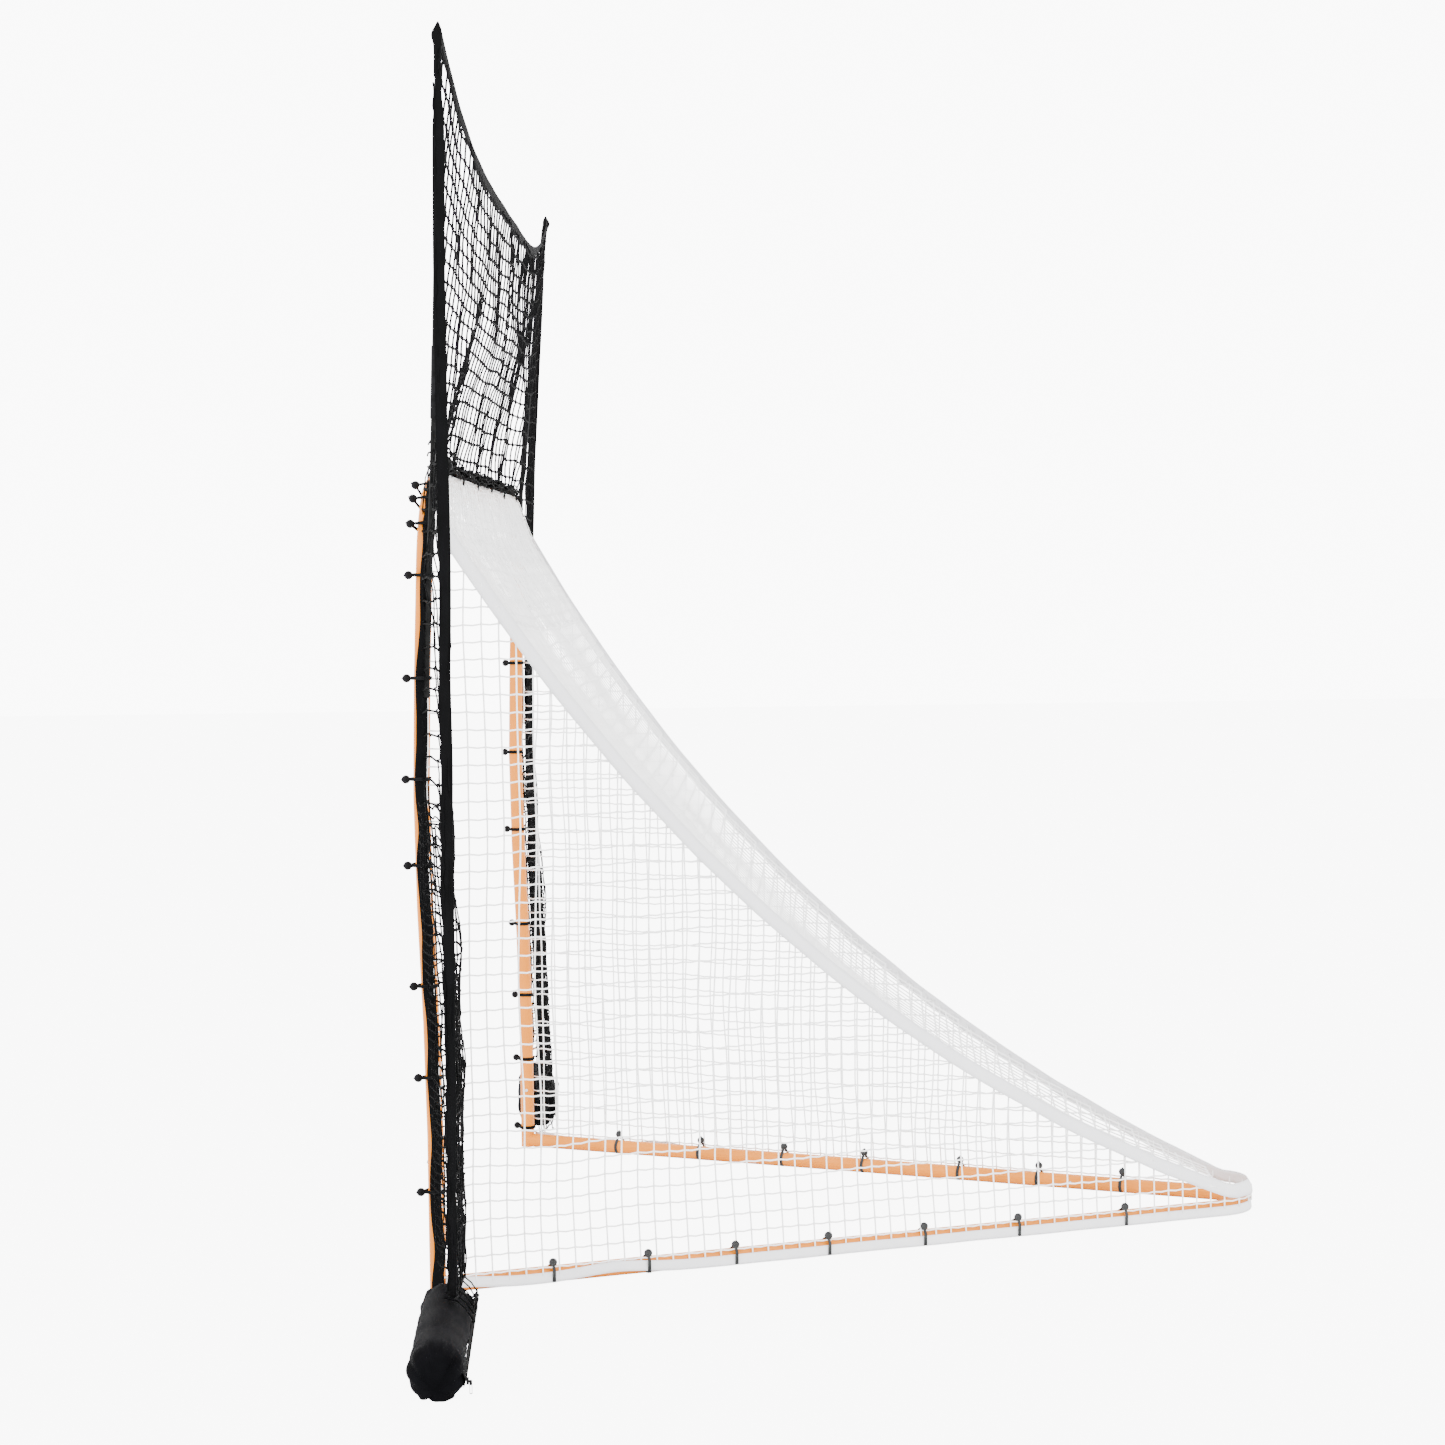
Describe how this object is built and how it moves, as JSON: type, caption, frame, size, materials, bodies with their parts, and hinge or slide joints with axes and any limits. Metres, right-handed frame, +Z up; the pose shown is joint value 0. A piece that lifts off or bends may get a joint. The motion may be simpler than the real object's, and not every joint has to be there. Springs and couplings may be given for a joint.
{
  "type": "backyard lacrosse goal with backstop",
  "caption": "Tube-frame lacrosse goal with a sagging white net, a tall black backstop net on rods, ball bungees and sandbags.",
  "frame": {"origin": "on the ground under the middle of the whole goal", "axes": "+X is to the right for a player who looks into the mouth, +Y points from the mouth to the rear bend, and +Z is up."},
  "size_m": [3.8043, 2.0961, 2.7559],
  "materials": {
    "orange_paint": "satin orange paint",
    "zinc_steel": "zinc plated",
    "black_steel": "black paint",
    "black_plastic": "matte",
    "black_rubber": "matte",
    "black_net": "knotted cord net",
    "black_webbing": "woven tape",
    "black_canvas": "woven canvas",
    "black_fibreglass": "drawn rod, slight sheen",
    "white_net": "knotted cord net",
    "white_webbing": "woven tape",
    "black_elastic": "braided elastic cord with a plastic ball"
  },
  "bodies": {
    "goal": {"right_post": "orange_paint", "left_post": "orange_paint", "right_base_rail": "orange_paint", "left_base_rail": "orange_paint", "crossbar": "orange_paint", "rear_bend": "orange_paint", "right_post_sleeve": "zinc_steel", "left_post_sleeve": "zinc_steel", "right_crossbar_sleeve": "zinc_steel", "left_crossbar_sleeve": "zinc_steel", "right_rear_sleeve": "zinc_steel", "left_rear_sleeve": "zinc_steel", "right_socket_screw": "zinc_steel", "left_socket_screw": "zinc_steel", "right_foot_cap": "black_plastic", "left_foot_cap": "black_plastic", "right_lower_rod": "black_fibreglass", "left_lower_rod": "black_fibreglass", "right_upper_rod": "black_fibreglass", "left_upper_rod": "black_fibreglass", "right_rod_ferrule": "black_steel", "left_rod_ferrule": "black_steel", "right_rod_end_cap": "black_rubber", "left_rod_end_cap": "black_rubber", "right_corner_pocket": "black_webbing", "left_corner_pocket": "black_webbing", "right_sandbag": "black_canvas", "left_sandbag": "black_canvas", "right_wing_net": "black_net", "left_wing_net": "black_net", "backstop_top_net": "black_net", "right_edge_tape": "black_webbing", "left_edge_tape": "black_webbing", "backstop_top_tape": "black_webbing", "backstop_mouth_tape": "black_webbing", "right_side_net": "white_net", "left_side_net": "white_net", "back_net": "white_net", "right_ridge_tape": "white_webbing", "left_ridge_tape": "white_webbing", "goal_hem_tape": "white_webbing", "right_post_bungee_1": "black_elastic", "left_post_bungee_1": "black_elastic", "right_post_bungee_2": "black_elastic", "left_post_bungee_2": "black_elastic", "right_corner_bungee": "black_elastic", "left_corner_bungee": "black_elastic"},
    "right_post_button": {"right_post_button": "zinc_steel"},
    "right_crossbar_button": {"right_crossbar_button": "zinc_steel"},
    "right_rear_button": {"right_rear_button": "zinc_steel"},
    "left_post_button": {"left_post_button": "zinc_steel"},
    "left_crossbar_button": {"left_crossbar_button": "zinc_steel"},
    "left_rear_button": {"left_rear_button": "zinc_steel"},
    "right_zip_slider": {"right_zip_slider": "zinc_steel"},
    "right_zip_pull": {"right_zip_pull": "zinc_steel"},
    "left_zip_slider": {"left_zip_slider": "zinc_steel"},
    "left_zip_pull": {"left_zip_pull": "zinc_steel"}
  },
  "joints": [
    {"name": "right_post_button_press", "type": "slide", "parent": "goal", "child": "right_post_button", "axis": [0, 1, 0], "range_m": [0, 0.004], "stiffness_N_per_m": 1500, "springref_m": -0.002},
    {"name": "right_crossbar_button_press", "type": "slide", "parent": "goal", "child": "right_crossbar_button", "axis": [0, 0, 1], "range_m": [0, 0.004], "stiffness_N_per_m": 1500, "springref_m": -0.002},
    {"name": "right_rear_button_press", "type": "slide", "parent": "goal", "child": "right_rear_button", "axis": [0.9134, 0.407, 0], "range_m": [0, 0.004], "stiffness_N_per_m": 1500, "springref_m": -0.002},
    {"name": "left_post_button_press", "type": "slide", "parent": "goal", "child": "left_post_button", "axis": [0, 1, 0], "range_m": [0, 0.004], "stiffness_N_per_m": 1500, "springref_m": -0.002},
    {"name": "left_crossbar_button_press", "type": "slide", "parent": "goal", "child": "left_crossbar_button", "axis": [0, 0, 1], "range_m": [0, 0.004], "stiffness_N_per_m": 1500, "springref_m": -0.002},
    {"name": "left_rear_button_press", "type": "slide", "parent": "goal", "child": "left_rear_button", "axis": [-0.9134, 0.407, 0], "range_m": [0, 0.004], "stiffness_N_per_m": 1500, "springref_m": -0.002},
    {"name": "right_zip_run", "type": "slide", "parent": "goal", "child": "right_zip_slider", "axis": [-0.9958, -0.0919, 0], "range_m": [0, 0.5]},
    {"name": "right_zip_pull_swing", "type": "hinge", "parent": "right_zip_slider", "child": "right_zip_pull", "pos_m": [1.85239, -0.71841, 0.035], "axis": [0.9958, 0.0919, 0], "range_deg": [-4, 170]},
    {"name": "left_zip_run", "type": "slide", "parent": "goal", "child": "left_zip_slider", "axis": [0.9941, 0.1088, 0], "range_m": [0, 0.5]},
    {"name": "left_zip_pull_swing", "type": "hinge", "parent": "left_zip_slider", "child": "left_zip_pull", "pos_m": [-1.86589, -0.91722, 0.035], "axis": [0.9941, 0.1088, 0], "range_deg": [-4, 170]}
  ]
}
